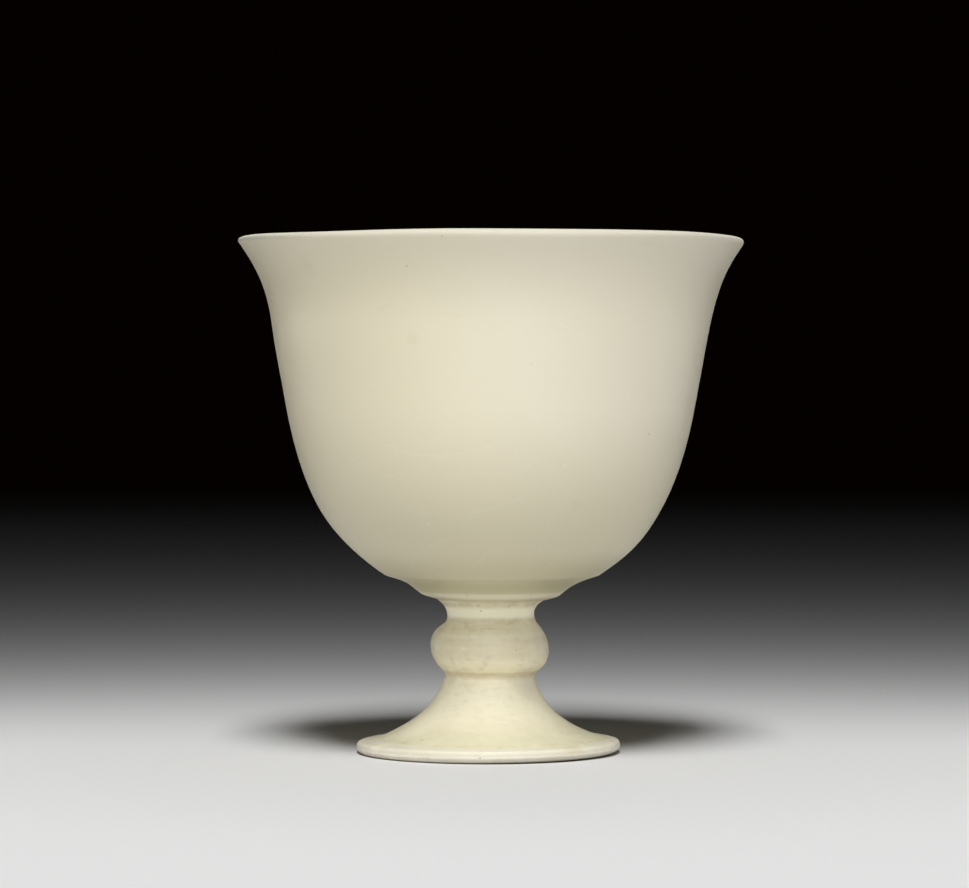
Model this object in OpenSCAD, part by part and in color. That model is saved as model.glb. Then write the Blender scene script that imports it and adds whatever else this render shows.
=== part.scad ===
// Stem cup: a thrown bowl luted with slip onto a stem with a knop and a spreading foot,
// both coated with a thin glaze.
// Millimetres, +Z up. The origin is the centre of the circle that the foot rests on.

/* [Foot] */
// Diameter of the foot at its widest
foot_d = 41.7; // [36:0.1:48]
// Outer diameter of the ring that the cup rests on
rest_d = 39.0; // [33:0.1:40]
// Width of the resting ring
rest_w = 1.6; // [0.8:0.1:3]
// Thickness of the foot's rounded edge
edge_h = 1.95; // [1.5:0.05:3]
// Height of the edge's widest place
edge_side_h = 1.1; // [0.7:0.05:1.3]
// Distance from the edge's widest place in to its top
edge_in = 0.3; // [0.1:0.05:0.6]
// Height from the table to the top of the foot's flare
foot_h = 11.4; // [9:0.1:15]
// Height of the rounded top of the hollow under the foot
dome_h = 3.6; // [2:0.1:5]
// Thickness of the stem's wall around the top of the hollow
stem_wall = 4.0; // [3:0.1:5]

/* [Stem] */
// Diameter of the short shank between foot and knop
shank_d = 15.1; // [13:0.1:17]
// Height of the shank
shank_h = 1.2; // [0.6:0.1:4]
// Diameter of the knop at its widest
knop_d = 18.7; // [17.5:0.1:24]
// Height of the knop
knop_h = 7.8; // [6.5:0.1:11]
// Diameter of the crease on top of the knop
knop_top_d = 15.4; // [14.6:0.1:17]
// Diameter of the neck at its narrowest
neck_d = 14.3; // [12:0.1:15]
// Height from the knop's crease to the narrowest place
neck_low_h = 1.5; // [0.8:0.1:4]
// Height from the narrowest place to the joint
neck_high_h = 1.85; // [1.5:0.05:5]
// Diameter of the neck at the joint
joint_d = 16.3; // [15.4:0.1:18.4]
// Slope of the neck at the joint, from upright
joint_angle = 52; // [35:1:60]

/* [Bowl] */
// Height of the whole cup, which also sets the height of the belly
cup_h = 81.3; // [77:0.1:88]
// Diameter of the collar under the bowl
collar_d = 22.4; // [20.5:0.1:26]
// Height from the joint to the collar's edge
collar_h = 0.9; // [0.6:0.1:2]
// Height of the hollow moulding between the collar and the belly
moulding_h = 2.9; // [2:0.1:5]
// Diameter where the moulding meets the belly
seat_d = 33.6; // [29:0.1:38]
// Diameter at the top of the belly
belly_d = 64.6; // [58:0.1:68]
// Height of the straight wall
wall_h = 12.6; // [6:0.1:20]
// Diameter at the top of the straight wall
waist_d = 69.2; // [65:0.1:73]
// Height of the flared part, up to the middle of the rounded lip
flare_h = 13.3; // [9:0.1:20]
// Diameter over the lip
rim_d = 80.0; // [76:0.1:88]
// Slope of the flare at the lip, from upright
rim_angle = 34; // [20:1:45]
// Thickness of the rounded lip, glaze included
lip_t = 1.3; // [0.9:0.1:2]
// Thickness of the straight wall, glaze included
wall_t = 1.9; // [1.4:0.1:3]
// Thickness of the wall at the bottom of the belly, glaze included
belly_t = 3.4; // [2.6:0.1:5]
// Thickness of the bowl at its centre, down to the joint
base_t = 5.0; // [4:0.1:7]

/* [Coats] */
// Thickness of the glaze on the bowl
bowl_glaze_t = 0.3; // [0.2:0.05:0.4]
// Extra thickness of the glaze that pooled in the moulding
pool_t = 0.25; // [0:0.05:0.5]
// Thickness of the glaze on stem and foot
stem_glaze_t = 0.2; // [0.1:0.05:0.3]
// Thickness of the slip in the joint
slip_t = 0.4; // [0.2:0.05:0.8]
// Distance between the rings scored into both faces of the joint
score_pitch = 2.0; // [1.2:0.1:3]
// Width of one scored ring
score_w = 0.8; // [0.4:0.1:1]
// Depth of one scored ring
score_depth = 0.3; // [0.1:0.05:0.5]

/* [Hidden] */
$fn = 180;

// Steps in a short curve, a long curve and the lip's half circle
short_steps = 8;
long_steps = 24;
lip_steps = 10;

// Headings are angles from straight up, outwards positive, along the outline from foot to lip
upright = 0;
inwards = -90;
outwards = 90;
straight_down = 180;
half_turn = 180;
rest_heading = 62;
edge_top_heading = -70;
apron_heading = -85;
knop_low_heading = 55;
knop_top_heading = -62;
neck_low_heading = -30;
collar_heading = 15;
moulding_low_heading = 45;
moulding_top_heading = 76;
belly_low_heading = 56;
wall_heading = atan2((waist_d - belly_d) / 2, wall_h);
underside_heading = 97;

// Pulls are shares of a curve's straight length, and say how full the curve is at that end
rest_pull = 0.52;
edge_low_pull = 0.23;
edge_side_pull = 0.42;
edge_top_pull = 0.32;
apron_pull = 0.54;
shank_pull = 0.05;
knop_low_pull = 0.38;
knop_side_pull = 0.52;
knop_top_pull = 0.29;
neck_crease_pull = 0.3;
neck_pull = 0.45;
joint_pull = 0.3;
collar_low_pull = 0.1;
collar_pull = 0.13;
moulding_low_pull = 0.4;
moulding_top_pull = 0.21;
belly_low_pull = 0.25;
belly_top_pull = 0.57;
waist_pull = 0.54;
rim_pull = 0.21;
heel_pull = 0.25;
dish_pull = 0.34;
dome_pull = 0.4;
bore_pull = 0.15;
underside_pull = 0.5;

// Heights of the stations below the belly, stacked from the table up
crease_z = foot_h + shank_h;
knop_z = crease_z + knop_h / 2;
knop_top_z = crease_z + knop_h;
neck_z = knop_top_z + neck_low_h;
joint_z = neck_z + neck_high_h;
joint_top_z = joint_z + slip_t;
collar_z = joint_top_z + collar_h;
seat_z = collar_z + moulding_h;
floor_z = joint_top_z + base_t;

// Heights of the stations above the belly, taken down from the top of the cup
lip_z = cup_h - lip_t / 2;
waist_z = lip_z - flare_h;
belly_z = waist_z - wall_h;

// Stations of the outside, from the resting ring up to the lip
rest_outer = [rest_d / 2, 0];
edge_side = [foot_d / 2, edge_side_h];
edge_top = [foot_d / 2 - edge_in, edge_h];
shank_low = [shank_d / 2, foot_h];
crease = [shank_d / 2, crease_z];
knop_side = [knop_d / 2, knop_z];
knop_top = [knop_top_d / 2, knop_top_z];
neck = [neck_d / 2, neck_z];
joint_low = [joint_d / 2, joint_z];
joint_top = [joint_d / 2 + slip_t * tan(joint_angle), joint_top_z];
collar_edge = [collar_d / 2, collar_z];
seat = [seat_d / 2, seat_z];
belly_top = [belly_d / 2, belly_z];
waist = [waist_d / 2, waist_z];
lip_centre = [(rim_d - lip_t) / 2, lip_z];

// Stations of the inside, from the lip down to the middle of the floor
waist_inside = waist + left_of(wall_heading) * wall_t;
belly_inside = belly_top + left_of(wall_heading) * wall_t;
heel_inside = seat + left_of(belly_low_heading) * belly_t;
floor_centre = [0, floor_z];
// The inside passes the heel at the slope of a dish that ends level in the middle
heel_heading = inwards - atan2(2 * (heel_inside[1] - floor_z), heel_inside[0]);

// Stations of the hollow under the foot
bore_r = shank_d / 2 - stem_wall;
bore_low = [bore_r, foot_h - stem_wall / 2];
hollow_top = [0, bore_low[1] + dome_h];
rest_inner = [rest_d / 2 - rest_w, 0];

// Vector along a heading
function along(heading) = [sin(heading), cos(heading)];

// Vector square to a heading, on its left: into the clay, for the cup's outline
function left_of(heading) = [-cos(heading), sin(heading)];

// Smooth curve from p to q, without p itself
function curve(p, leave, pull_p, q, arrive, pull_q, steps = short_steps) =
    let (span = norm(q - p),
         b = p + along(leave) * span * pull_p,
         c = q - along(arrive) * span * pull_q)
    [for (i = [1:steps])
        let (t = i / steps, u = 1 - t)
        u * u * u * p + 3 * u * u * t * b + 3 * u * t * t * c + t * t * t * q];

// Half circle over the lip, from the outside to the inside
function lip_round() =
    [for (i = [0:lip_steps])
        lip_centre - left_of(rim_angle - half_turn * i / lip_steps) * lip_t / 2];

function reversed(list) = [for (i = [len(list) - 1:-1:0]) list[i]];
function stretch(list, from, to) = [for (i = [from:to]) list[i]];

lip = lip_round();
lip_outside = lip[0];
lip_inside = lip[lip_steps];
crown_step = round(lip_steps * (rim_angle - inwards) / half_turn);

// The cup's visible outline, in stretches that follow each other
foot_edge_low = concat([rest_outer],
    curve(rest_outer, rest_heading, rest_pull, edge_side, upright, edge_low_pull));
foot_edge_high = curve(edge_side, upright, edge_side_pull, edge_top, edge_top_heading, edge_top_pull);
stem_side = concat(
    curve(edge_top, apron_heading, apron_pull, shank_low, upright, shank_pull, long_steps),
    [crease],
    curve(crease, knop_low_heading, knop_low_pull, knop_side, upright, knop_side_pull),
    curve(knop_side, upright, knop_side_pull, knop_top, knop_top_heading, knop_top_pull),
    curve(knop_top, neck_low_heading, neck_crease_pull, neck, upright, neck_pull),
    curve(neck, upright, neck_pull, joint_low, joint_angle, joint_pull),
    [joint_top]);
collar_side = curve(joint_top, joint_angle, collar_low_pull, collar_edge, collar_heading, collar_pull);
moulding = curve(collar_edge, moulding_low_heading, moulding_low_pull,
    seat, moulding_top_heading, moulding_top_pull);
bowl_side = concat(
    curve(seat, belly_low_heading, belly_low_pull, belly_top, wall_heading, belly_top_pull, long_steps),
    [waist],
    curve(waist, wall_heading, waist_pull, lip_outside, rim_angle, rim_pull, long_steps),
    stretch(lip, 1, crown_step));
bowl_inside = concat(
    stretch(lip, crown_step + 1, lip_steps),
    curve(lip_inside, rim_angle - half_turn, rim_pull,
        waist_inside, wall_heading - half_turn, waist_pull, long_steps),
    [belly_inside],
    curve(belly_inside, wall_heading - half_turn, belly_top_pull,
        heel_inside, heel_heading, heel_pull, long_steps),
    curve(heel_inside, heel_heading, dish_pull, floor_centre, inwards, dish_pull));
skin = concat(foot_edge_low, foot_edge_high, stem_side, collar_side, moulding, bowl_side, bowl_inside);

// Where the coats begin and end along the outline
glaze_line = len(foot_edge_low) - 1;
joint_end = glaze_line + len(foot_edge_high) + len(stem_side);
joint_start = joint_end - 1;
crown = joint_end + len(collar_side) + len(moulding) + len(bowl_side);
last = len(skin) - 1;

// Thickness of the coat at each station: none below the glaze line, pooled in the moulding
coat = concat(
    [for (p = foot_edge_low) 0],
    [for (p = foot_edge_high) stem_glaze_t],
    [for (p = stem_side) stem_glaze_t],
    [for (p = collar_side) bowl_glaze_t],
    [for (i = [1:short_steps]) bowl_glaze_t + pool_t * sin(half_turn * i / short_steps)],
    [for (p = bowl_side) bowl_glaze_t],
    [for (p = bowl_inside) bowl_glaze_t]);

// Heading from one station to the next; the outline ends level at the axis
function step_heading(i) =
    let (d = skin[i + 1] - skin[i])
    atan2(d[0], d[1]);

// The clay's outline lies under the visible one, square to it by the coat's thickness
function clay_station(i) =
    let (before = i == last ? inwards : step_heading(max(i - 1, 0)),
         after = i == last ? inwards : step_heading(i),
         middle = left_of(before) + left_of(after))
    skin[i] + coat[i] * middle / (middle * left_of(after));

clay = [for (i = [0:last]) clay_station(i)];

// Face of the joint from the axis out to its edge, with the rings that the potter scored
function scored_face(edge, way) =
    concat([[0, edge[1]]],
        [for (k = [1:floor((edge[0] - score_w) / score_pitch)], side = [-1, 0, 1])
            [k * score_pitch + side * score_w / 2, edge[1] + (side == 0 ? way * score_depth : 0)]],
        [edge]);

upper_face = scored_face(clay[joint_end], 1);
lower_face = scored_face(clay[joint_start], -1);

hollow = concat([hollow_top],
    curve(hollow_top, outwards, dome_pull, bore_low, straight_down, dome_pull),
    curve(bore_low, straight_down, bore_pull, rest_inner, underside_heading, underside_pull, long_steps));

// A piece of pottery turned from its half section
module turned(section) {
    rotate_extrude() polygon(section);
}

// A coat between the visible outline and the clay
module coated(from, to) {
    turned(concat(stretch(skin, from, to), reversed(stretch(clay, from, to))));
}

module bowl_body() {
    color("#efe7d3") turned(concat(upper_face, stretch(clay, joint_end + 1, last)));
}

module bowl_inside_glaze() {
    color("#e6e1cb") coated(crown, last);
}

module bowl_outside_glaze() {
    color("#e4dec6") coated(joint_end, crown);
}

module luting_slip() {
    color("#cdbd9e") turned(concat(lower_face, reversed(upper_face)));
}

module stem_body() {
    color("#f0ead8") turned(concat(hollow, stretch(clay, 0, joint_start - 1), reversed(lower_face)));
}

module stem_glaze() {
    color("#e6e0be")
        turned(concat(stretch(skin, glaze_line, joint_end),
            reversed(stretch(clay, glaze_line + 1, joint_end))));
}

bowl_body();
bowl_inside_glaze();
bowl_outside_glaze();
luting_slip();
stem_body();
stem_glaze();
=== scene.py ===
"""Stem cup in cream-glazed ceramic: every CAD piece turned again as a fine mesh, a little out of true as
a thrown pot is, with glaze and clay materials, on a pale floor that falls away into the dark."""

import math

import bmesh
import bpy
import numpy as np
from mathutils import Euler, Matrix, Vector
from mathutils.bvhtree import BVHTree


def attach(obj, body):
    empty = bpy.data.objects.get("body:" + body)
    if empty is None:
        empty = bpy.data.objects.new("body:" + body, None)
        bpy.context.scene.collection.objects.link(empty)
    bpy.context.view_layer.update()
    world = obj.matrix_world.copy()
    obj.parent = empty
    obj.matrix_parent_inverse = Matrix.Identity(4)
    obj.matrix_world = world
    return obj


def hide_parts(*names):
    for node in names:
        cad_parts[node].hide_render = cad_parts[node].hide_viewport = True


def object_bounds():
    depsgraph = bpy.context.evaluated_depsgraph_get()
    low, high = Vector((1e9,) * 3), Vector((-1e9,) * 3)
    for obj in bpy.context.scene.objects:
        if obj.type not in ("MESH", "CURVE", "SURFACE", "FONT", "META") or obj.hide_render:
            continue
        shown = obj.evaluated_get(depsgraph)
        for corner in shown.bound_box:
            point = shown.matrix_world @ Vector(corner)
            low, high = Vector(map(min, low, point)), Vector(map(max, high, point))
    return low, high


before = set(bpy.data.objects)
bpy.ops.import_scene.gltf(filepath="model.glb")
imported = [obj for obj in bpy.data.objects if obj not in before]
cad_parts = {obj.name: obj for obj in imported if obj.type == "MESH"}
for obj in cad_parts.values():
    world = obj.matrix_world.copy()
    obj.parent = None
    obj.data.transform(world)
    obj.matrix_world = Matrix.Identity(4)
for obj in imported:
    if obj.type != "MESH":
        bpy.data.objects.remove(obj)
cad_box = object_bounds()

# Lengths below are millimetres unless a name says otherwise; Blender gets metres
MM = 0.001
CUP_TOP = cad_box[1].z / MM

# The photograph, and the camera that took it, worked out from the cup's outline
PHOTO_WIDTH = 969
PHOTO_HEIGHT = 888
FOCAL_PIXELS = 3858
AXIS_COLUMN = 490.5
HORIZON_ROW = 388
CAMERA_AWAY = 610
CAMERA_UP = 57.6
SENSOR_WIDTH = 36
CAMERA_ASIDE = (AXIS_COLUMN - PHOTO_WIDTH / 2) / FOCAL_PIXELS * CAMERA_AWAY
CAMERA_PLACE = Vector((-CAMERA_ASIDE, -CAMERA_AWAY, CAMERA_UP)) * MM
CAMERA_TIP = math.atan((PHOTO_HEIGHT / 2 - HORIZON_ROW) / FOCAL_PIXELS)
CAMERA_TURN = Euler((math.pi / 2 - CAMERA_TIP, 0, 0))


# Reading the CAD outline

WELD_METRES = 1e-6
ON_PLANE_METRES = 1e-7


def half_section(node):
    """The node's outline on the +X side of the axis, as ordered (radius, height) points.
    It runs from axis to axis, or all the way round where the node doesn't reach the axis."""
    cut_mesh = bmesh.new()
    cut_mesh.from_mesh(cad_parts[node].data)
    bmesh.ops.remove_doubles(cut_mesh, verts=cut_mesh.verts, dist=WELD_METRES)
    everything = cut_mesh.verts[:] + cut_mesh.edges[:] + cut_mesh.faces[:]
    cut = bmesh.ops.bisect_plane(
        cut_mesh, geom=everything, dist=ON_PLANE_METRES, plane_co=(0, 0, 0), plane_no=(0, 1, 0)
    )["geom_cut"]
    beside = {}
    for edge in cut:
        if isinstance(edge, bmesh.types.BMEdge) and min(v.co.x for v in edge.verts) > -ON_PLANE_METRES:
            a, b = edge.verts
            beside.setdefault(a, []).append(b)
            beside.setdefault(b, []).append(a)
    ends = [v for v in beside if len(beside[v]) == 1]
    start = min(ends or beside, key=lambda v: (v.co.z, v.co.x))
    walked = [start]
    here = beside[start][0]
    while here not in (start, None):
        before = walked[-1]
        walked.append(here)
        here = next((v for v in beside[here] if v is not before), None)
    outline = np.array([(max(v.co.x, 0.0), v.co.z) for v in walked]) / MM
    cut_mesh.free()
    return outline, not ends


# Smoothing the outline

SOFT_CORNER = math.radians(24)
HARD_CORNER = math.radians(66)
# A middling corner is cut back this far, and by no more than this share of the way to the next point
SOFTENED_BACK = 0.22
SOFTENED_SHARE = 0.4
SHORTEST_STEP = 0.02
FINE_STEP = 0.05
# Corners are eased over this length, with weights that are dropped beyond so many times it
LEVELLED = 0.35
LEVELLED_TIMES = 3
WIDEST_TURN = math.radians(5)


def turns(points, closed):
    """The angle that the outline turns by at each point."""
    before = points - np.roll(points, 1, 0)
    after = np.roll(points, -1, 0) - points
    cross = before[:, 0] * after[:, 1] - before[:, 1] * after[:, 0]
    bends = np.abs(np.arctan2(cross, (before * after).sum(1)))
    if not closed:
        bends[[0, -1]] = math.pi
    return bends


def without_repeats(points):
    """The points, less those that nearly repeat the one before."""
    kept = [points[0]]
    for point in points[1:]:
        if np.linalg.norm(point - kept[-1]) > SHORTEST_STEP:
            kept.append(point)
    return np.array(kept)


def softened(points, closed):
    """The outline with its middling corners cut back a little, as glaze and a wet sponge leave them."""
    bends = turns(points, closed)
    out = []
    for i, point in enumerate(points):
        if SOFT_CORNER < bends[i] < HARD_CORNER:
            for beside in (points[i - 1], points[(i + 1) % len(points)]):
                reach = np.linalg.norm(beside - point)
                out.append(point + (beside - point) * min(SOFTENED_BACK / reach, SOFTENED_SHARE))
        else:
            out.append(point)
    return np.array(out)


def splined(points):
    """A fine smooth curve through the points of one stretch between hard corners."""
    steps = np.linalg.norm(np.diff(points, axis=0), axis=1)
    slopes = np.diff(points, axis=0) / steps[:, None]
    inner = slopes[:-1] * steps[1:, None] + slopes[1:] * steps[:-1, None]
    inner /= (steps[:-1] + steps[1:])[:, None]
    tangents = np.vstack([slopes[:1], inner, slopes[-1:]])
    curve = []
    for i, step in enumerate(steps):
        t = np.linspace(0, 1, max(2, math.ceil(step / FINE_STEP) + 1))[:-1, None]
        curve.append(
            (2 * t**3 - 3 * t**2 + 1) * points[i]
            + (t**3 - 2 * t**2 + t) * step * tangents[i]
            + (3 * t**2 - 2 * t**3) * points[i + 1]
            + (t**3 - t**2) * step * tangents[i + 1]
        )
    return np.vstack(curve + [points[-1:]])


def levelled(points):
    """The fine curve with its corners eased, as glaze levels itself while it is molten; its ends stay."""
    reach = min(round(LEVELLED_TIMES * LEVELLED / FINE_STEP), len(points) - 1)
    away = np.arange(-reach, reach + 1) * FINE_STEP / LEVELLED
    weights = np.exp(-(away**2) / 2)
    before = 2 * points[0] - points[reach:0:-1]
    after = 2 * points[-1] - points[-2 : -reach - 2 : -1]
    padded = np.vstack([before, points, after])
    sides = [np.convolve(column, weights / weights.sum(), "valid") for column in padded.T]
    return np.stack(sides, 1)


def thinned(points, longest_step):
    """Fewer points, closer together where the outline bends."""
    steps = np.diff(points, axis=0)
    headings = np.unwrap(np.arctan2(steps[:, 1], steps[:, 0]))
    kept = [0]
    gone = 0.0
    heading = headings[0]
    for i in range(1, len(points) - 1):
        gone += np.linalg.norm(steps[i - 1])
        if gone > longest_step or abs(headings[i] - heading) > WIDEST_TURN:
            kept.append(i)
            gone = 0.0
            heading = headings[i]
    return points[kept + [len(points) - 1]]


def smooth_outline(node, longest_step):
    """The node's outline as the mesh follows it, and whether it closes on itself."""
    points, closed = half_section(node)
    points = softened(without_repeats(points), closed)
    bends = turns(points, closed)
    if closed:
        first = int(np.argmax(bends))
        points = np.roll(points, -first, 0)
        bends = np.roll(bends, -first)
        points = np.vstack([points, points[:1]])
        bends = np.append(bends, bends[0])
    hard = [i for i in range(len(points)) if bends[i] >= HARD_CORNER]
    stretches = []
    for a, b in zip(hard[:-1], hard[1:]):
        stretch = thinned(levelled(splined(points[a : b + 1])), longest_step)
        stretches.append(stretch if b == hard[-1] and not closed else stretch[:-1])
    outline = np.vstack(stretches)
    return np.clip(outline, points.min(0), points.max(0)), closed


# How far the thrown cup is from true. Every piece takes the same warp, so coats stay on their clay.
# Nothing leaves the true cup's box: the rim goes inwards and down, and all below it is narrower.
# Angles are degrees round the axis from +X, and the photograph is taken from -90.

LEFT = 180

# The lip is a little oval, and a hair inside the true one
RIM_FROM = 68
OVAL = 0.09
OVAL_TURN = math.pi
TRUE_BOX_MARGIN = 0.02

# The wall is pinched in on the left, under the lip
RIM_PINCH = 0.33
RIM_PINCH_FROM = 63
RIM_PINCH_FULL = 76
RIM_PINCH_LESS = 80.0
RIM_PINCH_END = 81.2

# Dips in the rim: angle, reach either way in degrees, and depth
RIM_DIPS = (
    (-128, 32, 0.2),
    (-80, 45, 0.12),
    (-8, 40, 0.15),
    (95, 70, 0.1),
)

# Faint rings that fingers leave on the wheel
RING_PITCH = 2.7
RING_DEPTH = 0.012
RING_RADII = (0, 8)

# Where the cup stands a little to one side: height, reach up and down, and shift towards +X
SWAYS = (
    (71.0, 7.0, 0.07),
    (31.0, 8.0, 0.32),
    (27.2, 1.6, 0.18),
    (20.7, 1.8, 0.15),
    (18.8, 3.2, -0.22),
    (13.8, 2.4, 0.24),
)

# The collar's low edge hangs a little lower on the right
COLLAR_TILT = 0.14
COLLAR_LOW_EDGE = 24.6
COLLAR_TILT_REACH = 1.4
COLLAR_RADII = (7, 9)

# The knop is rounder underneath
KNOP_ROUNDING = 0.34
KNOP_UNDERSIDE = 14.0
KNOP_UNDERSIDE_REACH = 2.2
KNOP_RADII = (6.5, 8.5)

# Where the stem was turned slimmer than true: height, reach up and down, and depth
SLIMMED = (
    (26.9, 1.6, 0.15),
    (23.6, 2.6, 0.26),
    (20.3, 3.2, 0.42),
    (12.5, 1.7, 0.38),
    (10.6, 2.6, 0.22),
    (6.6, 4.8, 0.6),
)
SLIMMED_RADII = (3, 6)

# The foot stands towards -X, is lifted at the right front and is pressed down on the left
FOOT_OFFSET = 0.35
FOOT_OFFSET_TOP = 24
FOOT_LIFT = 0.06
FOOT_LIFT_ANGLE = -20
FOOT_LIFT_TOP = 9
FOOT_LIFT_RADII = (6, 18)
FOOT_PRESS = 0.25
FOOT_PRESS_FULL = 2
FOOT_PRESS_LESS = 2.6
FOOT_PRESS_END = 5.5
FOOT_PRESS_RADII = (13, 18)

# Below the glaze the foot's edge is rounded, and fuller at the left front
GLAZE_END = 1.1
FOOT_ROUNDED = 0.5
FOOT_FULLER = 0.7
FOOT_FULLER_ANGLE = -150
FOOT_EDGE_RADII = (18.5, 19.5)

# Knocks on the foot's edge: angle, height, width and depth
FOOT_KNOCKS = (
    (-8, 1.5, 0.55, 0.16),
    (-63, 0.5, 0.5, 0.08),
    (-119, 0.3, 0.7, 0.07),
    (-158, 1.0, 0.6, 0.06),
    (34, 0.8, 0.8, 0.12),
    (97, 1.6, 0.5, 0.1),
    (150, 0.4, 0.9, 0.1),
)
FOOT_KNOCK_RADII = (16, 18)


def ease(value, low, high):
    """0 below low, 1 above high, smooth between."""
    t = np.clip((value - low) / (high - low), 0, 1)
    return t * t * (3 - 2 * t)


def near(value, middle, reach):
    """1 at the middle, 0 beyond its reach, smooth between."""
    return 1 - ease(np.abs(value - middle), 0, reach)


def angle_off(angle, degrees):
    """How far an angle is from a direction, the short way round."""
    return (angle - math.radians(degrees) + math.pi) % (2 * math.pi) - math.pi


def facing(angle, degrees):
    """1 where the cup faces a direction, 0 on the half that faces away, smooth between."""
    return np.clip(np.cos(angle - math.radians(degrees)), 0, 1) ** 2


def taken_in(radius, angle, height):
    """How much closer to the axis a point of the bowl or stem lies than on the true cup."""
    oval = OVAL * (1 + np.cos(2 * angle + OVAL_TURN)) / 2
    taken = (oval + TRUE_BOX_MARGIN) * ease(height, RIM_FROM, CUP_TOP)
    ring = RING_DEPTH * (1 + np.sin(2 * math.pi * height / RING_PITCH + angle)) / 2
    taken = taken + ring * ease(radius, *RING_RADII)
    pinched = ease(height, RIM_PINCH_FROM, RIM_PINCH_FULL) - ease(height, RIM_PINCH_LESS, RIM_PINCH_END)
    taken = taken + RIM_PINCH * facing(angle, LEFT) * pinched
    rounding = KNOP_ROUNDING * near(height, KNOP_UNDERSIDE, KNOP_UNDERSIDE_REACH)
    taken = taken + rounding * ease(radius, *KNOP_RADII)
    for slim_height, reach, depth in SLIMMED:
        taken = taken + depth * near(height, slim_height, reach) * ease(radius, *SLIMMED_RADII)
    return taken


def foot_let_out(radius, angle, height):
    """How much further from the axis a point of the foot's edge lies than on the true cup."""
    up_the_edge = np.clip(height / GLAZE_END, 0, 1)
    rounded = FOOT_ROUNDED * (np.sqrt(1 - (1 - up_the_edge) ** 2) - up_the_edge)
    fuller = FOOT_FULLER * facing(angle, FOOT_FULLER_ANGLE) * (1 - up_the_edge) ** 2
    let_out = (rounded + fuller) * ease(radius, *FOOT_EDGE_RADII)
    for knock_angle, knock_height, width, depth in FOOT_KNOCKS:
        along = angle_off(angle, knock_angle) * radius
        away = (along**2 + (height - knock_height) ** 2) / width**2
        let_out = let_out - depth * np.exp(-away) * ease(radius, *FOOT_KNOCK_RADII)
    return let_out


def swayed(height):
    """How far towards +X the cup stands at a height."""
    shift = -FOOT_OFFSET * (1 - ease(height, 0, FOOT_OFFSET_TOP))
    for sway_height, reach, sway in SWAYS:
        shift = shift + sway * near(height, sway_height, reach)
    return shift


def raised(radius, angle, height):
    """How much higher a point lies than on the true cup."""
    lift = FOOT_LIFT * facing(angle, FOOT_LIFT_ANGLE) * (1 - ease(height, 0, FOOT_LIFT_TOP))
    lift = lift * ease(radius, *FOOT_LIFT_RADII)
    pressed = ease(height, 0, FOOT_PRESS_FULL) - ease(height, FOOT_PRESS_LESS, FOOT_PRESS_END)
    pressed = FOOT_PRESS * facing(angle, LEFT) * pressed * ease(radius, *FOOT_PRESS_RADII)
    tilt = COLLAR_TILT * np.cos(angle) * near(height, COLLAR_LOW_EDGE, COLLAR_TILT_REACH)
    tilt = tilt * ease(radius, *COLLAR_RADII)
    dip = 0
    for dip_angle, reach, depth in RIM_DIPS:
        dip = dip + depth * near(angle_off(angle, dip_angle), 0, math.radians(reach))
    return lift - pressed - tilt - dip * ease(height, RIM_FROM, CUP_TOP)


def as_thrown(radius, angle, height):
    """Where a point of the true cup lies on the thrown one, in metres."""
    thrown = radius - taken_in(radius, angle, height) + foot_let_out(radius, angle, height)
    x = thrown * np.cos(angle) + swayed(height)
    y = thrown * np.sin(angle)
    z = height + raised(radius, angle, height)
    return np.stack(np.broadcast_arrays(x, y, z), -1) * MM


# Turning a piece

def turned(name, node, segments, longest_step):
    """A closed mesh of the node's outline turned round the axis, which stands for that node."""
    outline, closed = smooth_outline(node, longest_step)
    doubled_area = np.sum(
        outline[:, 0] * np.roll(outline[:, 1], -1) - outline[:, 1] * np.roll(outline[:, 0], -1)
    )
    if doubled_area < 0:
        outline = outline[::-1]
    angles = np.linspace(0, 2 * math.pi, segments, endpoint=False)
    vertices = []
    rows = []
    for radius, height in outline:
        if radius < SHORTEST_STEP:
            rows.append(np.full(segments, len(vertices)))
            vertices.extend(as_thrown(np.zeros(1), np.zeros(1), np.full(1, height)))
        else:
            rows.append(np.arange(segments) + len(vertices))
            vertices.extend(as_thrown(np.full(segments, radius), angles, height))
    faces = []
    following = rows[1:] + rows[:1] if closed else rows[1:]
    for low, high in zip(rows, following):
        for i in range(segments):
            k = (i + 1) % segments
            corners = (low[i], low[k], high[k], high[i])
            faces.append(list(dict.fromkeys(int(c) for c in corners)))
    mesh = bpy.data.meshes.new(name)
    mesh.from_pydata([tuple(v) for v in vertices], [], faces)
    mesh.validate()
    mesh.shade_smooth()
    mesh.set_sharp_from_angle(angle=HARD_CORNER)
    piece = bpy.data.objects.new(name, mesh)
    bpy.context.scene.collection.objects.link(piece)
    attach(piece, "root")
    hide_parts(node)
    return piece


# The pieces

BOWL_SEGMENTS = 256
STEM_SEGMENTS = 384
VISIBLE_STEP = 0.8
HIDDEN_STEP = 1.6
FOOT_STEP = 0.25

bowl_clay = turned("bowl_clay", "bowl_body", BOWL_SEGMENTS, HIDDEN_STEP)
inner_coat = turned("bowl_inner_coat", "bowl_inside_glaze", BOWL_SEGMENTS, VISIBLE_STEP)
outer_coat = turned("bowl_outer_coat", "bowl_outside_glaze", BOWL_SEGMENTS, VISIBLE_STEP)
joint_slip = turned("joint_slip", "luting_slip", BOWL_SEGMENTS, HIDDEN_STEP)
stem_clay = turned("stem_clay", "stem_body", STEM_SEGMENTS, FOOT_STEP)
stem_coat = turned("stem_coat", "stem_glaze", STEM_SEGMENTS, VISIBLE_STEP)
cup = [bowl_clay, inner_coat, outer_coat, joint_slip, stem_clay, stem_coat]


# Material nodes

# What counts as low and as high in cloudy noise
CLOUDS = (0.3, 0.7)
BLOTCHES = (0.35, 0.65)

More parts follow.
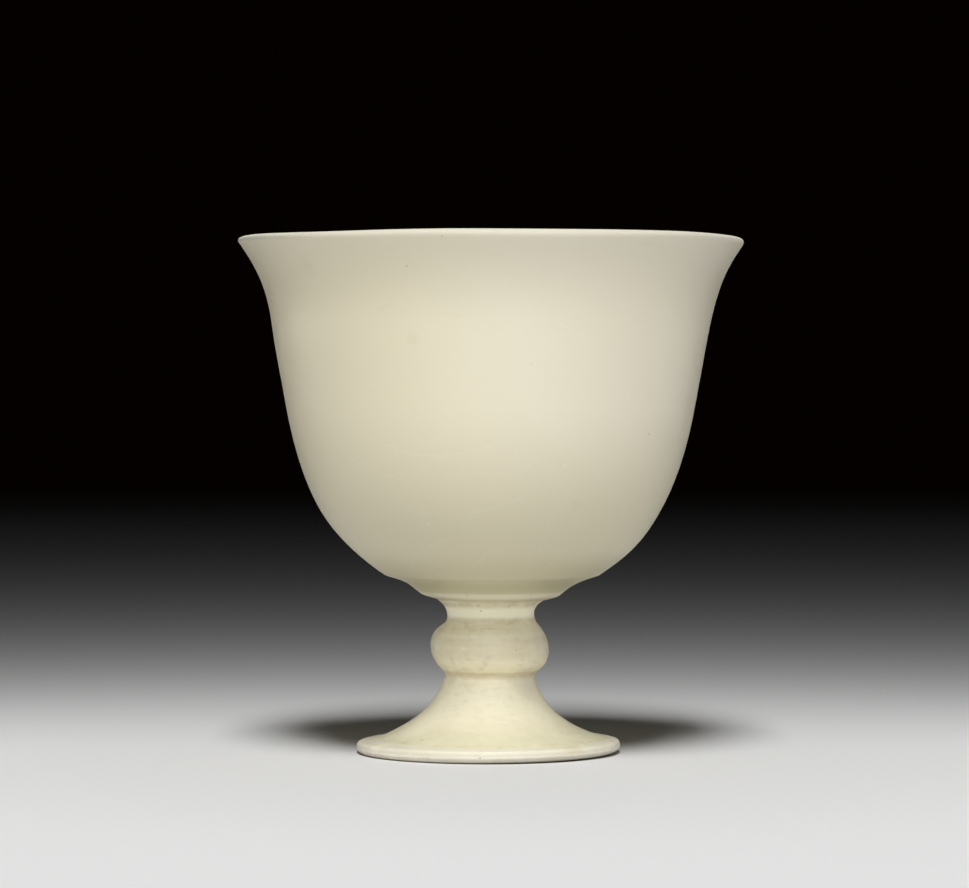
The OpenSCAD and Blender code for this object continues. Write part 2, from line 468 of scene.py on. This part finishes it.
# Shares of a mark's half width: as far as the first it is full, and by the second it has gone
SPECK_EDGE = (0.4, 1.0)
SPOT_EDGE = (0.3, 1.3)
HAIRLINE_EDGE = (0.4, 1.6)
CRAZING_EDGE = (0.3, 1.5)

# Crazing wanders by a share of its cells' width, and comes and goes in patches
CRAZING_WANDER = 0.5
CRAZING_WANDER_SCALE = 0.12
CRAZING_PATCH = 14
CRAZING_PATCHES = (0.5, 0.7)
CRAZING_STRENGTH = 0.09

# A hairline wanders either way, is fainter in places, and fades out near its ends
HAIRLINE_HALF_WIDTH = 0.09
HAIRLINE_WANDER = 0.35
HAIRLINE_WANDER_SIZE = 4.0
HAIRLINE_WANDERS = (0.2, 0.8)
HAIRLINE_BREAK_SIZE = 3.0
HAIRLINE_BREAKS = (0.35, 0.6)
HAIRLINE_FAINTEST = 0.25
HAIRLINE_REACH = (0.7, 1.02)


class Nodes:
    """One material, its nodes made by short calls. A value is a number, a colour or a node's output."""

    def __init__(self, name):
        """A new material, with places on the object in millimetres."""
        self.material = bpy.data.materials.new(name)
        self.material.use_nodes = True
        self.tree = self.material.node_tree
        self.tree.nodes.clear()
        place = self.add("ShaderNodeTexCoord").outputs["Object"]
        self.point = self.vector("SCALE", place, scale=1 / MM)
        split = self.add("ShaderNodeSeparateXYZ", Vector=self.point)
        self.x, _, self.height = split.outputs

    def add(self, kind, settings=None, **values):
        """A new node with its settings, and with values for its inputs by their names."""
        node = self.tree.nodes.new(kind)
        for key, value in (settings or {}).items():
            setattr(node, key, value)
        for key, value in values.items():
            self.feed(node.inputs[key.replace("_", " ")], value)
        return node

    def feed(self, socket, value):
        """Gives an input its value."""
        if isinstance(value, bpy.types.NodeSocket):
            self.tree.links.new(value, socket)
        else:
            socket.default_value = value

    def vector(self, operation, a, b=None, scale=None):
        """A sum on places or directions."""
        node = self.add("ShaderNodeVectorMath", {"operation": operation})
        self.feed(node.inputs[0], a)
        if b is not None:
            self.feed(node.inputs[1], b)
        if scale is not None:
            self.feed(node.inputs["Scale"], scale)
        return node.outputs["Value" if operation in ("DISTANCE", "DOT_PRODUCT") else "Vector"]

    def math(self, operation, a, b=0.0):
        """A sum on numbers."""
        node = self.add("ShaderNodeMath", {"operation": operation})
        self.feed(node.inputs[0], a)
        self.feed(node.inputs[1], b)
        return node.outputs[0]

    def times(self, *values):
        """The values multiplied together."""
        product = values[0]
        for value in values[1:]:
            product = self.math("MULTIPLY", product, value)
        return product

    def fade(self, value, low, high, to_low=0.0, to_high=1.0):
        """to_low below low and to_high above high, smooth between; low may be the greater."""
        node = self.add("ShaderNodeMapRange", {"interpolation_type": "SMOOTHSTEP"})
        if low > high:
            low, high, to_low, to_high = high, low, to_high, to_low
        for key, given in enumerate((value, low, high, to_low, to_high)):
            self.feed(node.inputs[key], given)
        return node.outputs[0]

    def change(self, start, full, strength=1.0):
        """0 on one side of a height and the strength beyond another, up or down the cup."""
        return self.fade(self.height, start, full, 0.0, strength)

    def band(self, middle, half, soft):
        """1 within half of a height, fading out over soft beyond."""
        away = self.math("ABSOLUTE", self.math("SUBTRACT", self.height, middle))
        return self.fade(away, half + soft, half)

    def mix(self, factor, a, b):
        """The first colour where the factor is 0, the second where it is 1."""
        node = self.add("ShaderNodeMix", {"data_type": "RGBA"})
        for key, value in ((0, factor), (6, a), (7, b)):
            if isinstance(value, tuple):
                value = (*value, 1.0)
            self.feed(node.inputs[key], value)
        return node.outputs[2]

    def noise(self, size, detail=2.0, stretch=(1, 1, 1), seed=0.0):
        """Cloudy noise about 0.5, with patches of about that size."""
        place = self.vector("MULTIPLY", self.point, tuple(s / size for s in stretch))
        place = self.vector("ADD", place, (seed, seed, seed))
        return self.add("ShaderNodeTexNoise", Vector=place, Scale=1.0, Detail=detail).outputs[0]

    def specks(self, apart, size, seed, share):
        """1 in round specks of about that size, one in each cell of a width, in that share of the cells."""
        place = self.vector("ADD", self.vector("SCALE", self.point, scale=1 / apart), (seed,) * 3)
        cells = self.add("ShaderNodeTexVoronoi", Vector=place, Scale=1.0)
        pick = self.add("ShaderNodeSeparateColor", Color=cells.outputs["Color"]).outputs[0]
        full, gone = SPECK_EDGE
        dot = self.fade(cells.outputs["Distance"], gone * size / apart, full * size / apart)
        return self.times(dot, self.math("LESS_THAN", pick, share))

    def crazing(self, apart, half_width, seed):
        """Faint broken lines of crackle, in cells of about that width."""
        wander = self.add("ShaderNodeTexNoise", Vector=self.point, Scale=CRAZING_WANDER_SCALE, Detail=2.0)
        wander = self.vector("SCALE", wander.outputs["Color"], scale=CRAZING_WANDER * apart)
        place = self.vector("ADD", self.point, wander)
        place = self.vector("ADD", self.vector("SCALE", place, scale=1 / apart), (seed,) * 3)
        cells = self.add("ShaderNodeTexVoronoi", {"feature": "DISTANCE_TO_EDGE"}, Vector=place, Scale=1.0)
        full, gone = CRAZING_EDGE
        line = self.fade(cells.outputs["Distance"], gone * half_width / apart, full * half_width / apart)
        patches = self.noise(CRAZING_PATCH, seed=seed)
        return self.times(line, self.fade(patches, *CRAZING_PATCHES, 0.0, CRAZING_STRENGTH))

    def spot(self, place, full, gone):
        """1 as far as the first distance from a place, fading to 0 at the second."""
        return self.fade(self.vector("DISTANCE", self.point, tuple(place)), gone, full)

    def hairline(self, ends):
        """1 along the fine line that a plane through three places draws, near the middle one."""
        first, middle, last = (np.array(place) for place in ends)
        across = np.cross(last - middle, first - middle)
        across /= np.linalg.norm(across)
        off = self.vector("SUBTRACT", self.point, tuple(middle))
        off = self.vector("DOT_PRODUCT", off, tuple(across))
        wander = self.noise(HAIRLINE_WANDER_SIZE, detail=3.0)
        wander = self.fade(wander, *HAIRLINE_WANDERS, -HAIRLINE_WANDER, HAIRLINE_WANDER)
        off = self.math("ABSOLUTE", self.math("ADD", off, wander))
        full, gone = HAIRLINE_EDGE
        line = self.fade(off, gone * HAIRLINE_HALF_WIDTH, full * HAIRLINE_HALF_WIDTH)
        broken = self.noise(HAIRLINE_BREAK_SIZE, seed=31.0)
        broken = self.fade(broken, *HAIRLINE_BREAKS, HAIRLINE_FAINTEST, 1.0)
        reach = max(np.linalg.norm(last - middle), np.linalg.norm(first - middle))
        full, gone = HAIRLINE_REACH
        return self.times(line, broken, self.spot(middle, full * reach, gone * reach))

    def seen(self):
        """1 for what the camera sees, straight, mirrored or through glass, and 0 for light on its way."""
        path = self.add("ShaderNodeLightPath").outputs
        mirrored = self.math("MAXIMUM", path["Is Glossy Ray"], path["Is Transmission Ray"])
        return self.math("MAXIMUM", path["Is Camera Ray"], mirrored)

    def finish(self, colour, roughness, relief, relief_depth):
        """The material, with its colour, roughness and relief."""
        bump = self.add("ShaderNodeBump", Height=relief, Strength=1.0, Distance=relief_depth * MM)
        shader = self.add("ShaderNodeBsdfPrincipled", Base_Color=colour, Roughness=roughness)
        self.feed(shader.inputs["Normal"], bump.outputs[0])
        self.add("ShaderNodeOutputMaterial", Surface=shader.outputs[0])
        return self.material


# Marks that the photograph shows, by their pixels (column, row)

# Hairline cracks in the bowl's glaze: both ends and a place between, and how strong
PALE_HAIRLINES = (
    ((352, 425), (423, 456), (500, 443), 0.17),
    ((348, 455), (376, 471), (404, 480), 0.16),
    ((380, 495), (432, 514), (484, 515), 0.14),
    ((410, 474), (450, 477), (488, 473), 0.14),
    ((457, 514), (499, 507), (542, 483), 0.14),
    ((480, 476), (512, 470), (545, 460), 0.12),
    ((500, 443), (538, 432), (572, 420), 0.12),
    ((407, 564), (427, 549), (446, 538), 0.2),
    ((470, 566), (484, 557), (500, 552), 0.12),
)
STAINED_HAIRLINES = (
    ((376, 310), (396, 310), (419, 316), 0.07),
    ((433, 316), (450, 316), (466, 314), 0.07),
)

# Specks, stains and patches: pixel, half width in millimetres and strength
IRON_SPECKS = (
    ((407, 266), 0.2, 0.35),
    ((442, 236), 0.2, 0.25),
    ((649, 434), 0.2, 0.35),
    ((531, 364), 0.18, 0.15),
    ((467, 595), 0.22, 0.25),
    ((531, 595), 0.22, 0.2),
    ((474, 602), 0.3, 0.25),
    ((478, 606), 0.25, 0.3),
    ((509, 606), 0.22, 0.25),
    ((481, 611), 0.18, 0.4),
    ((516, 650), 0.16, 0.35),
    ((422, 740), 0.28, 0.4),
    ((512, 714), 0.16, 0.25),
    ((480, 758), 0.22, 0.5),
)
STAINS_AND_SHADE = (
    ((413, 339), 1.1, 0.12),
    ((308, 267), 1.5, 0.12),
    ((576, 505), 0.9, 0.1),
    ((546, 564), 0.8, 0.12),
    ((440, 632), 1.2, 0.25),
    ((452, 642), 3.0, 0.14),
    # painted shade under the knop's left side, not a stain
    ((452, 680), 1.2, 0.3),
    ((428, 757), 0.5, 0.2),
    ((574, 750), 2.0, 0.35),
    ((614, 742), 0.5, 0.35),
    ((604, 746), 0.4, 0.25),
    ((596, 751), 0.5, 0.3),
)
PALE_SPOTS_AND_GLINT = (
    ((627, 395), 0.3, 0.2),
    ((565, 465), 0.3, 0.25),
    ((561, 324), 0.3, 0.15),
    # a painted glint of light on the bowl's right edge, not a spot
    ((693, 405), 0.28, 0.9),
    ((428, 524), 0.3, 0.3),
    ((463, 649), 0.25, 0.25),
)
# Where the stem's glaze is thin, paler; on the foot's left these patches are also painted light
THIN_AND_LIT_PATCHES = (
    ((422, 724), 4.5, 0.6),
    ((440, 704), 3.0, 0.15),
    ((380, 746), 1.8, 0.55),
)
# Painted shade, in grey, on the right of the shank
SHADED_PATCHES = (
    ((524, 678), 3.0, 0.22),
    ((526, 690), 2.4, 0.22),
)


def surface_under(piece):
    """The piece's surface, ready to be met by a ray."""
    mesh = piece.data
    return BVHTree.FromPolygons([v.co for v in mesh.vertices], [p.vertices for p in mesh.polygons])


surfaces = {piece: surface_under(piece) for piece in (outer_coat, stem_coat, stem_clay)}


def photo_place(pixel):
    """The piece that the photograph shows at a pixel, and the place on it in millimetres."""
    column, row = pixel
    ray = Vector((column - PHOTO_WIDTH / 2, PHOTO_HEIGHT / 2 - row, -FOCAL_PIXELS)).normalized()
    ray.rotate(CAMERA_TURN)
    met = []
    for piece, surface in surfaces.items():
        place, _, _, away = surface.ray_cast(CAMERA_PLACE, ray)
        if place is not None:
            met.append((away, piece, place / MM))
    away, piece, place = min(met, key=lambda hit: hit[0])
    return piece, place


def add_spots(n, colour, piece, spots, spot_colour):
    """The colour with those of the spots that lie on this piece."""
    full, gone = SPOT_EDGE
    for pixel, half_width, strength in spots:
        met, place = photo_place(pixel)
        if met is piece:
            spot = n.times(n.spot(place, full * half_width, gone * half_width), strength)
            colour = n.mix(spot, colour, spot_colour)
    return colour


def add_hairlines(n, colour, hairlines, line_colour):
    """The colour with the hairlines drawn on it."""
    for first, middle, last, strength in hairlines:
        ends = [photo_place(pixel)[1] for pixel in (first, middle, last)]
        colour = n.mix(n.times(n.hairline(ends), strength), colour, line_colour)
    return colour


# Colours, as linear light reflected

GLAZE_CREAM = (0.832, 0.773, 0.617)
GLAZE_FLASHED = (0.81, 0.745, 0.55)
# Painted shade on the lower bowl, darker towards the bottom and at its seat
GLAZE_BELLY_SHADE = (0.765, 0.705, 0.51)
GLAZE_SEAT_SHADE = (0.665, 0.615, 0.435)
GLAZE_POOLED = (0.575, 0.535, 0.35)
# Lighter on the collar's edge, where the glaze is thin and a highlight is painted
GLAZE_EDGE_AND_HIGHLIGHT = (0.83, 0.775, 0.60)
GLAZE_THIN = (0.95, 0.895, 0.73)
# Painted shade on the lip's top, darker to dim its highlight
LIP_SHADE_PAINTED = (0.61, 0.575, 0.475)
STEM_CREAM = (0.85, 0.793, 0.595)
STEM_GREY = (0.765, 0.69, 0.502)
STEM_SHADE_GREY = (0.50, 0.455, 0.39)
STEM_PALE = (0.93, 0.865, 0.65)
STEM_DIRT = (0.63, 0.54, 0.375)
# Painted light on the neck, paler than its glaze
NECK_PAINTED_LIGHT = (0.99, 0.945, 0.725)
# Dirt under the collar, darkened further as painted shade
JOINT_DIRT_AND_SHADE = (0.45, 0.37, 0.21)
APRON_DULL = (0.69, 0.65, 0.458)
EDGE_PALE = (0.735, 0.70, 0.565)
CRACK_PALE = (0.93, 0.90, 0.78)
SPOT_PALE = (0.98, 0.96, 0.90)
OCHRE = (0.60, 0.49, 0.26)
IRON = (0.19, 0.125, 0.06)
CLAY = (0.84, 0.795, 0.665)
CLAY_DARK = (0.56, 0.48, 0.35)
SLIP = (0.52, 0.43, 0.30)

# Bands of colour round the cup: height of the middle, half width, and width of the soft edge beyond
POOLED_BAND = (26.4, 0.1, 1.3)
COLLAR_EDGE_HIGHLIGHT_BAND = (25.1, 0.2, 0.45)
JOINT_BAND = (23.8, 0.15, 0.8)
NECK_LIGHT_BAND = (22.3, 0.3, 1.1)
NECK_CREASE_BAND = (21.1, 0.15, 0.6)
KNOP_TOP_LIGHT_BAND = (19.6, 0.5, 1.1)
KNOP_BAND = (16.8, 0.4, 2.4)
KNOP_UNDERSIDE_LIGHT_BAND = (13.9, 0.2, 1.8)
FOOT_RING_BAND = (2.45, 0.05, 0.25)

# Changes up or down the cup: the height where each starts, where it is full, and its strength if not 1
LIP_SHADE_HEIGHTS = (80.1, 80.8)
LIP_ROUGHENS = (79.8, 80.5, 0.8)
RIM_THINS = (73.0, 81.0, 0.3)
BELLY_SHADE_HEIGHTS = (56, 36, 0.9)
SEAT_SHADE_HEIGHTS = (33.0, 28.8)
KNOP_CREASE_BELOW = (11.6, 12.5)
KNOP_CREASE_ABOVE = (13.2, 12.9)
APRON_DULLS = (6.4, 3.2)
FOOT_EDGE_PALES = (2.35, 2.15)

# How strong a mark is: one number, or two where noise breaks it up, for low noise and for high
JOINT_STAINED_AND_SHADED = (0.1, 0.45)
NECK_CREASE_STAIN_AND_SHADE = (0.15, 0.45)
KNOP_CREASE_STAIN_AND_SHADE = (0.25, 0.55)
KNOP_GREYED = (0.7, 1.0)
KNOP_TOP_PAINTED_LIGHT = 0.95
APRON_DULLED = (0.75, 1.0)
FOOT_RING_STAINED = (0.0, 0.35)
BOWL_CLOUDED = (0.0, 0.12)
STREAKED = 0.12
CLAY_STAINED = 0.35

# Roughness where its noise is low, and where it is high
SATIN = (0.34, 0.42)
DULL = (0.5, 0.62)
DRY = (0.8, 0.95)
GRITTY = (0.85, 0.95)

# The kiln flashed the bowl from one place across it to another, with a wavering edge
FLASHED_ACROSS = (20, -10)
FLASH_WAVER = 16.0

# The stem's mottle is darker where its noise is high and paler where it is low: two levels of the noise,
# and the strength at each
MOTTLE_DARK = (0.48, 0.75, 0.0, 0.42)
MOTTLE_PALE = (0.48, 0.25, 0.0, 0.4)
# The mottle is fainter out on the foot and up on the neck: two heights, and its share at each
MOTTLE_ON_FOOT = (6.0, 14.0, 0.5, 1.0)
MOTTLE_ON_NECK = (21.6, 20.8, 0.15, 1.0)
# Two levels of the mottle's noise, and how far up or down the foot's pale edge wavers at each
FOOT_EDGE_WAVER = (0.2, 0.8, -0.08, 0.08)
# What counts as low and as high noise in the foot's dirty ring and in the clay's stains
FOOT_RING_MOTTLE = (0.4, 0.7)
CLAY_STAINS = (0.35, 0.7)

# Stray iron specks: width of a cell, size, seed and share of the cells, and how strong
BOWL_STRAYS = (9.0, 0.14, 5.0, 0.2)
BOWL_STRAY_STRENGTH = 0.35
STEM_STRAYS = (2.6, 0.13, 15.0, 0.3)
STEM_STRAY_STRENGTH = 0.3
CLAY_GRIT = (1.5, 0.18, 8.0, 0.35)
CLAY_GRIT_STRENGTH = 0.7

# How deep each surface's relief is, and the share of the streaks in the stem's
BOWL_RELIEF = 0.01
STEM_RELIEF = 0.03
STREAK_RELIEF = 0.3
CLAY_RELIEF = 0.04
SLIP_RELIEF = 0.05


def joint_dirt_and_shade(n):
    """Dirt and painted shade on the glaze under the collar, where bowl and stem were joined."""
    blotches = n.noise(size=2.2, detail=4.0, seed=17.0)
    return n.times(n.band(*JOINT_BAND), n.fade(blotches, *BLOTCHES, *JOINT_STAINED_AND_SHADED))


def bowl_glaze():
    """Satin glaze on the bowl: painted shade darkens it towards the bottom and at the seat, olive where it
    pooled over the collar, thin near the lip and on the collar's edge, where a highlight is painted too,
    painted shade on the lip's top, dirt and painted shade under the collar, flashed on one side by the kiln,
    with hairlines, specks and a painted glint."""
    n = Nodes("bowl glaze")
    waver = n.times(n.noise(size=30, seed=3.0), FLASH_WAVER)
    flashed = n.fade(n.math("ADD", n.x, waver), *FLASHED_ACROSS)
    colour = n.mix(flashed, GLAZE_CREAM, GLAZE_FLASHED)
    # Painted shade: darker towards the bottom of the bowl and at its seat
    colour = n.mix(n.change(*BELLY_SHADE_HEIGHTS), colour, GLAZE_BELLY_SHADE)
    colour = n.mix(n.change(*SEAT_SHADE_HEIGHTS), colour, GLAZE_SEAT_SHADE)
    colour = n.mix(n.band(*POOLED_BAND), colour, GLAZE_POOLED)
    # The collar's edge: thin glaze, and a painted highlight
    colour = n.mix(n.band(*COLLAR_EDGE_HIGHLIGHT_BAND), colour, GLAZE_EDGE_AND_HIGHLIGHT)
    # Dirt and painted shade under the collar
    colour = n.mix(joint_dirt_and_shade(n), colour, JOINT_DIRT_AND_SHADE)
    colour = n.mix(n.change(*RIM_THINS), colour, GLAZE_THIN)
    # Painted shade on the lip's top dims its highlight
    colour = n.mix(n.change(*LIP_SHADE_HEIGHTS), colour, LIP_SHADE_PAINTED)
    clouds = n.noise(size=22, detail=3.0, seed=11.0)
    colour = n.mix(n.fade(clouds, *CLOUDS, *BOWL_CLOUDED), colour, GLAZE_FLASHED)
    colour = add_hairlines(n, colour, PALE_HAIRLINES, CRACK_PALE)
    colour = add_hairlines(n, colour, STAINED_HAIRLINES, OCHRE)
    colour = n.mix(n.crazing(apart=11.0, half_width=0.07, seed=21.0), colour, CRACK_PALE)
    colour = add_spots(n, colour, outer_coat, STAINS_AND_SHADE, OCHRE)
    colour = add_spots(n, colour, outer_coat, PALE_SPOTS_AND_GLINT, SPOT_PALE)
    colour = add_spots(n, colour, outer_coat, IRON_SPECKS, IRON)
    colour = n.mix(n.times(n.specks(*BOWL_STRAYS), BOWL_STRAY_STRENGTH), colour, IRON)
    roughness = n.fade(n.noise(size=4.0, detail=3.0), *CLOUDS, *SATIN)
    roughness = n.math("MAXIMUM", roughness, n.change(*LIP_ROUGHENS))
    relief = n.noise(size=1.6, detail=1.0, seed=7.0)
    return n.finish(colour, roughness, relief, BOWL_RELIEF)


def stem_bands(n, blotches, mottle):
    """The stem's colours from the neck down: painted light on the neck, stains and painted shade in the
    creases, grey knop with painted light on its top and underside, dull foot, pale edge.
    """
    # Painted light on the neck
    colour = n.mix(n.band(*NECK_LIGHT_BAND), STEM_CREAM, NECK_PAINTED_LIGHT)
    knop = n.times(n.band(*KNOP_BAND), n.fade(blotches, 0, 1, *KNOP_GREYED))
    colour = n.mix(knop, colour, STEM_GREY)
    # Painted light on the knop's underside, as from the floor below
    colour = n.mix(n.band(*KNOP_UNDERSIDE_LIGHT_BAND), colour, STEM_PALE)
    # Painted light on the knop's top, where the bowl shades it
    colour = n.mix(n.times(n.band(*KNOP_TOP_LIGHT_BAND), KNOP_TOP_PAINTED_LIGHT), colour, STEM_PALE)
    # Stain and painted shade in the crease at the foot of the neck
    neck_crease_stain_and_shade = n.times(n.band(*NECK_CREASE_BAND), n.fade(mottle, *CLOUDS, *NECK_CREASE_STAIN_AND_SHADE))
    colour = n.mix(neck_crease_stain_and_shade, colour, OCHRE)
    # Stain and painted shade under the knop's overhang
    knop_crease_stain_and_shade = n.times(n.change(*KNOP_CREASE_BELOW), n.change(*KNOP_CREASE_ABOVE))
    knop_crease_stain_and_shade = n.times(knop_crease_stain_and_shade, n.fade(blotches, 0, 1, *KNOP_CREASE_STAIN_AND_SHADE))
    colour = n.mix(knop_crease_stain_and_shade, colour, OCHRE)
    apron = n.times(n.change(*APRON_DULLS), n.fade(blotches, 0, 1, *APRON_DULLED))
    colour = n.mix(apron, colour, APRON_DULL)
    foot_ring = n.fade(mottle, *FOOT_RING_MOTTLE, *FOOT_RING_STAINED)
    colour = n.mix(n.times(n.band(*FOOT_RING_BAND), foot_ring), colour, OCHRE)
    wavering = n.math("ADD", n.height, n.fade(mottle, *FOOT_EDGE_WAVER))
    return n.mix(n.fade(wavering, *FOOT_EDGE_PALES), colour, EDGE_PALE)


def stem_glaze():
    """Thin dull glaze on stem and foot, in bands down the stem with painted light and shade, mottled, dirty
    and shaded at the joint, streaked, with painted shade on the shank's right and painted light on the
    foot's left.
    """
    n = Nodes("stem glaze")
    streaks = n.fade(n.noise(size=6.0, detail=4.0, stretch=(1, 1, 12), seed=2.0), *CLOUDS)
    blotches = n.fade(n.noise(size=4.0, detail=4.0, seed=9.0), *CLOUDS)
    mottle = n.noise(size=1.5, detail=4.0, stretch=(1, 1, 1.4), seed=13.0)
    colour = stem_bands(n, blotches, mottle)
    mottled = n.times(n.fade(n.height, *MOTTLE_ON_FOOT), n.fade(n.height, *MOTTLE_ON_NECK))
    colour = n.mix(n.times(n.fade(mottle, *MOTTLE_DARK), mottled), colour, STEM_DIRT)
    colour = n.mix(n.times(n.fade(mottle, *MOTTLE_PALE), mottled), colour, STEM_PALE)
    colour = n.mix(n.times(streaks, mottled, STREAKED), colour, OCHRE)
    colour = n.mix(joint_dirt_and_shade(n), colour, JOINT_DIRT_AND_SHADE)
    # Thin glaze, and painted light on the foot's left
    colour = add_spots(n, colour, stem_coat, THIN_AND_LIT_PATCHES, STEM_PALE)
    # Painted shade on the right of the shank
    colour = add_spots(n, colour, stem_coat, SHADED_PATCHES, STEM_SHADE_GREY)
    colour = add_spots(n, colour, stem_coat, STAINS_AND_SHADE, OCHRE)
    colour = add_spots(n, colour, stem_coat, PALE_SPOTS_AND_GLINT, SPOT_PALE)
    colour = add_spots(n, colour, stem_coat, IRON_SPECKS, IRON)
    colour = n.mix(n.times(n.specks(*STEM_STRAYS), STEM_STRAY_STRENGTH), colour, IRON)
    roughness = n.fade(n.noise(size=2.5, detail=3.0), *CLOUDS, *DULL)
    relief = n.math("ADD", mottle, n.times(streaks, STREAK_RELIEF))
    return n.finish(colour, roughness, relief, STEM_RELIEF)


def bare_clay():
    """Unglazed white clay: dry grain, stains from handling and dark grit."""
    n = Nodes("bare clay")
    grain = n.noise(size=0.5, detail=4.0)
    stain = n.fade(n.noise(size=6.0, detail=4.0, seed=6.0), *CLAY_STAINS)
    colour = n.mix(n.times(stain, CLAY_STAINED), CLAY, CLAY_DARK)
    colour = add_spots(n, colour, stem_clay, STAINS_AND_SHADE, OCHRE)
    colour = add_spots(n, colour, stem_clay, IRON_SPECKS, IRON)
    colour = n.mix(n.times(n.specks(*CLAY_GRIT), CLAY_GRIT_STRENGTH), colour, IRON)
    roughness = n.fade(grain, *CLOUDS, *DRY)
    return n.finish(colour, roughness, grain, CLAY_RELIEF)


def fired_slip():
    """Slip in the joint: browner than the clay and full of fine grog."""
    n = Nodes("fired slip")
    grain = n.noise(size=0.4, detail=4.0)
    colour = n.mix(n.fade(grain, *BLOTCHES), SLIP, CLAY)
    roughness = n.fade(grain, *CLOUDS, *GRITTY)
    return n.finish(colour, roughness, grain, SLIP_RELIEF)


def dress(pieces, material):
    """Gives the pieces their material."""
    for piece in pieces:
        piece.data.materials.append(material)


dress([inner_coat, outer_coat], bowl_glaze())
dress([stem_coat], stem_glaze())
dress([bowl_clay, stem_clay], bare_clay())
dress([joint_slip], fired_slip())


# Floor, light and camera

FLOOR_HALF = 4000
FLOOR_DROP = 0.02
FLOOR_PALE = 0.88
# The floor's colour is a painted pool of light: pale within POOL_RADIUS of a place in front of the cup, then
# darkening: to a half at
# POOL_FALL beyond that, and away into the backdrop between the two distances of the dark
POOL_RADIUS = 300
POOL_FALL = 135
DARK_FROM = 900
DARK_AT = 1900
BACKDROP = (0.0012, 0.0004, 0.0)
# Share of its light that the floor throws back up at the cup
FLOOR_BOUNCE = 0.706
# Painted shade on the floor close round the cup: it is a little less pale there
NEAR_PAINTED_SHADE = 0.87
NEAR_FROM = 25
NEAR_TO = 135

# Soft lamps: name, place, the place that it faces, width, height and watts
CUP_MIDDLE = (0, 0, 50)
CUP_LAMPS = (
    ("key", (0, -545, 889), CUP_MIDDLE, 900, 600, 11.8),
    ("fill", (0, -1000, 85), CUP_MIDDLE, 900, 600, 5.8),
    ("left side", (-939, 342, 85), CUP_MIDDLE, 600, 150, 1.45),
    ("right side", (939, 342, 85), CUP_MIDDLE, 600, 150, 1.55),
)
BOWL_LAMPS = (
    ("back", (0, 906, 473), CUP_MIDDLE, 900, 300, 3.0),
)
FLOOR_LAMPS = (
    ("floor light", (-55, -1525, 2730), (-55, -1524, 0), 524, 1570, 97.0),
    ("floor fill", (0, 1500, 1200), (0, 0, 0), 1500, 1500, 1.0),
)


def floor():
    """A plain pale floor, in a painted pool of light that falls away into the dark behind the cup."""
    corners = [(-FLOOR_HALF, -FLOOR_HALF), (FLOOR_HALF, -FLOOR_HALF)]
    corners += [(FLOOR_HALF, FLOOR_HALF), (-FLOOR_HALF, FLOOR_HALF)]
    mesh = bpy.data.meshes.new("floor")
    mesh.from_pydata([(x * MM, y * MM, -FLOOR_DROP * MM) for x, y in corners], [], [(0, 1, 2, 3)])
    n = Nodes("floor")
    away = n.vector("DISTANCE", n.point, (0, -POOL_RADIUS, 0))
    beyond = n.math("MAXIMUM", n.math("SUBTRACT", away, POOL_RADIUS), 0.0)
    fallen = n.math("POWER", n.math("DIVIDE", beyond, POOL_FALL), 2.0)
    pale = n.math("DIVIDE", FLOOR_PALE, n.math("ADD", fallen, 1.0))
    from_cup = n.vector("DISTANCE", n.point, (0, 0, 0))
    # Painted shade close round the cup
    pale = n.times(pale, n.fade(from_cup, NEAR_FROM, NEAR_TO, NEAR_PAINTED_SHADE, 1.0))
    pale = n.times(pale, n.fade(n.seen(), 0, 1, FLOOR_BOUNCE, 1.0))
    colour = n.add("ShaderNodeCombineColor", Red=pale, Green=pale, Blue=pale).outputs[0]
    shader = n.add("ShaderNodeMixShader", Fac=n.fade(beyond, DARK_FROM, DARK_AT))
    n.feed(shader.inputs[1], n.add("ShaderNodeBsdfDiffuse", Color=colour).outputs[0])
    n.feed(shader.inputs[2], n.add("ShaderNodeBsdfTransparent").outputs[0])
    n.add("ShaderNodeOutputMaterial", Surface=shader.outputs[0])
    mesh.materials.append(n.material)
    piece = bpy.data.objects.new("floor", mesh)
    bpy.context.scene.collection.objects.link(piece)
    return piece


def softbox(name, place, aim, width, height, watts):
    """A rectangular soft lamp at a place, facing another place."""
    lamp = bpy.data.lights.new(name, "AREA")
    lamp.shape = "RECTANGLE"
    lamp.size = width * MM
    lamp.size_y = height * MM
    lamp.energy = watts
    holder = bpy.data.objects.new(name, lamp)
    holder.location = Vector(place) * MM
    holder.rotation_euler = (Vector(aim) - Vector(place)).to_track_quat("-Z", "Y").to_euler()
    bpy.context.scene.collection.objects.link(holder)
    return holder


def light(pieces, lamps):
    """Lamps that light these pieces and nothing else."""
    for lamp in lamps:
        holder = softbox(*lamp)
        lit = bpy.data.collections.new(holder.name + " lights")
        for piece in pieces:
            lit.objects.link(piece)
        holder.light_linking.receiver_collection = lit


def dark_world():
    """Nearly black behind everything."""
    world = bpy.data.worlds.new("studio")
    world.use_nodes = True
    world.node_tree.nodes["Background"].inputs["Color"].default_value = (*BACKDROP, 1.0)
    bpy.context.scene.world = world


def camera():
    """The photograph's camera: a long lens a little above the middle of the cup, tipped slightly down."""
    lens = bpy.data.cameras.new("camera")
    lens.sensor_width = SENSOR_WIDTH
    lens.lens = FOCAL_PIXELS * SENSOR_WIDTH / PHOTO_WIDTH
    holder = bpy.data.objects.new("camera", lens)
    holder.location = CAMERA_PLACE
    holder.rotation_euler = CAMERA_TURN
    bpy.context.scene.collection.objects.link(holder)
    bpy.context.scene.camera = holder


ground = floor()
light(cup, CUP_LAMPS)
light([outer_coat, inner_coat, bowl_clay], BOWL_LAMPS)
light([ground], FLOOR_LAMPS)
dark_world()
camera()
bpy.context.scene.view_settings.view_transform = "Standard"
